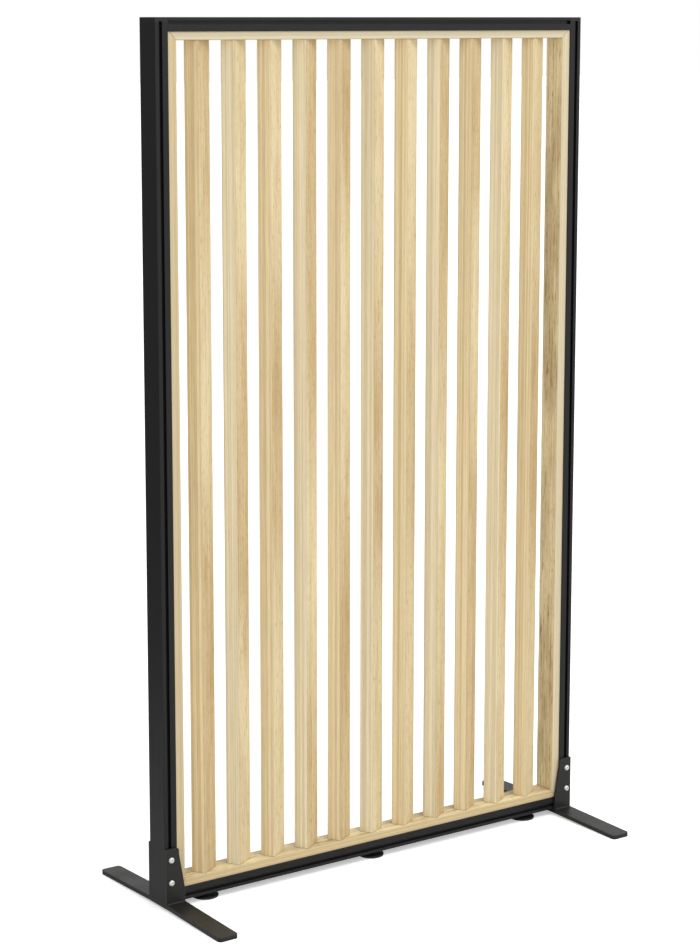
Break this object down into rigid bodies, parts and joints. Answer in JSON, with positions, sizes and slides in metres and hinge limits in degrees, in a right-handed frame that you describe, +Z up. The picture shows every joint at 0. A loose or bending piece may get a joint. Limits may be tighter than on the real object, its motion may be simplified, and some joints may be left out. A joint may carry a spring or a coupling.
{
  "type": "garden privacy screen",
  "caption": "Free-standing garden privacy screen: upright turned timber slats in a mitred timber frame, held in a black slotted metal frame on flat feet.",
  "frame": {"origin": "on the ground under the middle of the screen", "axes": "+X along the screen, to the right seen from the pictured face; +Y through the screen, away from that face; +Z up"},
  "size_m": [1.2, 0.525, 2.005],
  "materials": {
    "profile": "black anodised, satin",
    "end_cap": "moulded black plastic, fine grain",
    "connector": "sawn and milled, bare",
    "frame_timber": "planed, clear matt oil, grain along the member",
    "slat_timber_tan": "planed, clear matt oil, upright grain",
    "slat_timber_pale": "planed, clear matt oil, upright grain",
    "slat_timber_light": "planed, clear matt oil, upright grain",
    "slat_timber_warm": "planed, clear matt oil, upright grain",
    "foot_steel": "black powder coat, fine texture",
    "fastener_steel": "stainless, turned",
    "glide_plastic": "moulded black plastic"
  },
  "bodies": {
    "screen": {"bottom_left_bolts": "fastener_steel", "bottom_left_connector": "connector", "bottom_rail": "profile", "bottom_right_bolts": "fastener_steel", "bottom_right_connector": "connector", "foot_screws": "fastener_steel", "foot_slot_nuts": "fastener_steel", "head": "frame_timber", "left_foot_plate": "foot_steel", "left_front_flange": "foot_steel", "left_glide_insert": "fastener_steel", "left_post": "profile", "left_post_cap": "end_cap", "left_rear_flange": "foot_steel", "left_stile": "frame_timber", "middle_glide_insert": "fastener_steel", "right_foot_plate": "foot_steel", "right_front_flange": "foot_steel", "right_glide_insert": "fastener_steel", "right_post": "profile", "right_post_cap": "end_cap", "right_rear_flange": "foot_steel", "right_stile": "frame_timber", "sill": "frame_timber", "slat_01": "slat_timber_tan", "slat_02": "slat_timber_pale", "slat_03": "slat_timber_light", "slat_04": "slat_timber_warm", "slat_05": "slat_timber_tan", "slat_06": "slat_timber_pale", "slat_07": "slat_timber_light", "slat_08": "slat_timber_warm", "slat_09": "slat_timber_tan", "slat_10": "slat_timber_pale", "slat_11": "slat_timber_light", "top_left_bolts": "fastener_steel", "top_left_connector": "connector", "top_rail": "profile", "top_right_bolts": "fastener_steel", "top_right_connector": "connector"},
    "left_glide": {"left_glide_pad": "glide_plastic", "left_glide_stud": "fastener_steel"},
    "middle_glide": {"middle_glide_pad": "glide_plastic", "middle_glide_stud": "fastener_steel"},
    "right_glide": {"right_glide_pad": "glide_plastic", "right_glide_stud": "fastener_steel"}
  },
  "joints": [
    {"name": "left_glide_height", "type": "slide", "parent": "screen", "child": "left_glide", "axis": [0, 0, -1], "range_m": [-0.0035, 0.01]},
    {"name": "middle_glide_height", "type": "slide", "parent": "screen", "child": "middle_glide", "axis": [0, 0, -1], "range_m": [-0.0035, 0.01]},
    {"name": "right_glide_height", "type": "slide", "parent": "screen", "child": "right_glide", "axis": [0, 0, -1], "range_m": [-0.0035, 0.01]}
  ]
}
